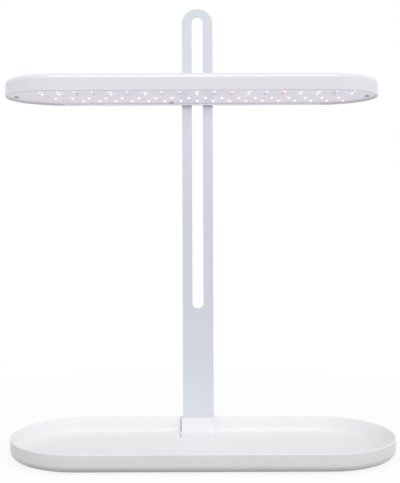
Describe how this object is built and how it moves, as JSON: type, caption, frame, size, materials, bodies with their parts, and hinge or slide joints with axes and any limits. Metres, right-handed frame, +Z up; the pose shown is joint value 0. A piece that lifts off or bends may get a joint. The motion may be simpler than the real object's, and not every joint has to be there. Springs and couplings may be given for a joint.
{
  "type": "led grow lamp",
  "caption": "Table-top grow lamp: a long round-ended lamp head slides on a slotted mast above a shallow plant tray and is held by a hand knob behind the mast.",
  "frame": {"origin": "middle of the outer box at the plane that the feet stand on", "axes": "+Z up along the mast, -Y the front that the plants are seen from, +X to the right of someone facing the front"},
  "size_m": [0.458, 0.1884, 0.5425],
  "materials": {
    "tray_white": "glossy white moulded plastic",
    "bracket_white": "satin white moulded plastic",
    "mast_coat": "satin pale grey-blue powder coat on steel",
    "bracket_screw_steel": "zinc-plated steel",
    "floor_screw_steel": "zinc-plated steel",
    "foot_rubber": "matt black rubber",
    "head_white": "glossy white moulded plastic",
    "panel_white": "white solder mask with light packages that glow white, red and violet",
    "board_screw_steel": "zinc-plated steel",
    "spreader_aluminium": "plain aluminium sheet",
    "pad_grey": "soft grey thermal pad",
    "board_green": "green circuit board",
    "capacitor_dark": "dark sleeved can",
    "coil_dark": "dark ferrite drum",
    "regulator_black": "black moulded package",
    "jack_black": "black moulded plastic",
    "lead_red": "red insulation",
    "lead_black": "black insulation",
    "switch_black": "black moulded plastic",
    "hanger_white": "white powder coat on steel",
    "hanger_screw_steel": "zinc-plated steel",
    "shoe_nylon": "natural nylon",
    "bolt_steel": "zinc-plated steel",
    "washer_steel": "zinc-plated steel",
    "knob_white": "satin white moulded plastic",
    "insert_brass": "turned brass",
    "button_grey": "satin pale grey plastic"
  },
  "bodies": {
    "stand": {"tray": "tray_white", "mast_bracket": "bracket_white", "mast": "mast_coat", "bracket_screw_left": "bracket_screw_steel", "bracket_screw_right": "bracket_screw_steel", "floor_screw_left": "floor_screw_steel", "floor_screw_right": "floor_screw_steel", "foot_front_left": "foot_rubber", "foot_front_right": "foot_rubber", "foot_rear_left": "foot_rubber", "foot_rear_right": "foot_rubber"},
    "head": {"head_shell": "head_white", "led_board": "panel_white", "board_screw_left": "board_screw_steel", "board_screw_right": "board_screw_steel", "board_screw_front": "board_screw_steel", "board_screw_rear": "board_screw_steel", "heat_spreader": "spreader_aluminium", "driver_pad": "pad_grey", "driver_board": "board_green", "filter_capacitor": "capacitor_dark", "power_coil": "coil_dark", "led_regulator": "regulator_black", "dc_jack": "jack_black", "lead_positive": "lead_red", "lead_negative": "lead_black", "push_switch": "switch_black", "hanger_plate": "hanger_white", "hanger_screw_left": "hanger_screw_steel", "hanger_screw_right": "hanger_screw_steel", "guide_shoe": "shoe_nylon", "clamp_bolt": "bolt_steel"},
    "washer": {"pressure_washer": "washer_steel"},
    "knob": {"clamp_knob": "knob_white", "knob_insert": "insert_brass"},
    "button": {"power_button": "button_grey"}
  },
  "joints": [
    {"name": "head_slide", "type": "slide", "parent": "stand", "child": "head", "axis": [0, 0, 1], "range_m": [-0.273, 0.0766]},
    {"name": "washer_backoff", "type": "slide", "parent": "head", "child": "washer", "axis": [0, 1, 0], "range_m": [0, 0.0008]},
    {"name": "knob_turn", "type": "hinge", "parent": "washer", "child": "knob", "pos_m": [-0.0016, 0.0802, 0.4449], "axis": [0, 1, 0], "range_deg": [0, 360]},
    {"name": "button_press", "type": "slide", "parent": "head", "child": "button", "axis": [0, 0, -1], "range_m": [0, 0.0012], "stiffness_N_per_m": 800, "springref_m": -0.0005}
  ],
  "couplings": [
    {"joint": "knob_turn", "follows": "washer_backoff", "rad_per_m": 7853.9}
  ]
}
